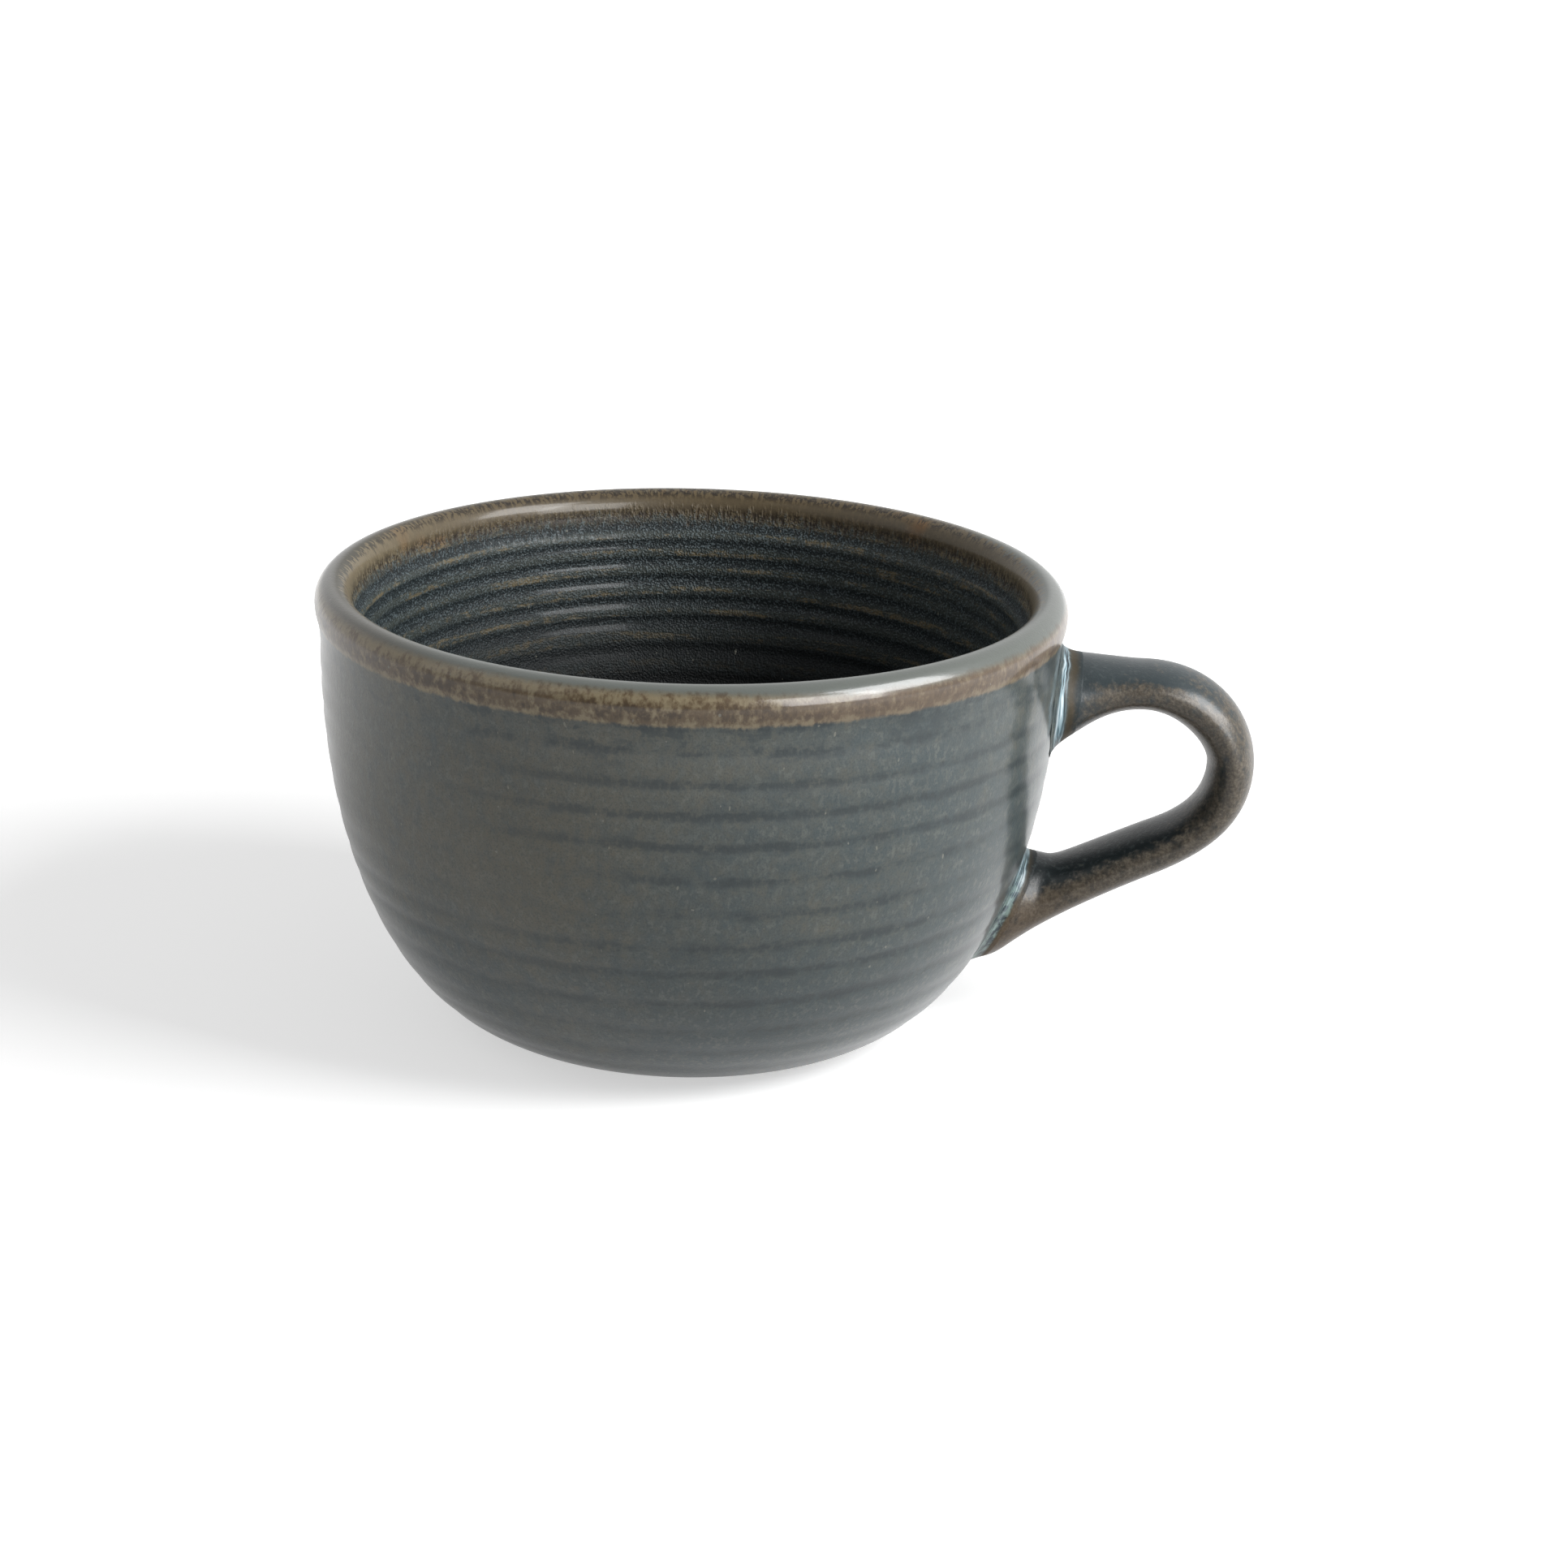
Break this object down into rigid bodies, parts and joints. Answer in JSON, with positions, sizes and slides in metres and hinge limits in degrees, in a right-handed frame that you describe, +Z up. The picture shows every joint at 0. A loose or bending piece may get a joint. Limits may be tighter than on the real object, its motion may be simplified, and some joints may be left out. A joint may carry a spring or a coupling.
{
  "type": "coffee cup",
  "caption": "Wide, round-bellied stoneware coffee cup with a rolled rim, throwing rings inside and out, and one pulled side handle.",
  "frame": {"origin": "centre of the foot, on the surface that the cup stands on", "axes": "+Z up out of the bowl, +X from the bowl's axis towards the handle, +Y completes the right-handed frame"},
  "size_m": [0.1324, 0.105, 0.064],
  "materials": {
    "slate_glaze": "satin slate-blue reactive glaze that breaks to tan and brown on the rim and the ring crests",
    "handle_glaze": "satin dark slate glaze, mottled brown along the edges of the handle",
    "pooled_glaze": "glossy pale blue glaze pooled in the corner between handle and wall"
  },
  "bodies": {
    "root": {"bowl": "slate_glaze", "handle": "handle_glaze", "upper_slip_joint": "pooled_glaze", "lower_slip_joint": "pooled_glaze"}
  },
  "joints": []
}
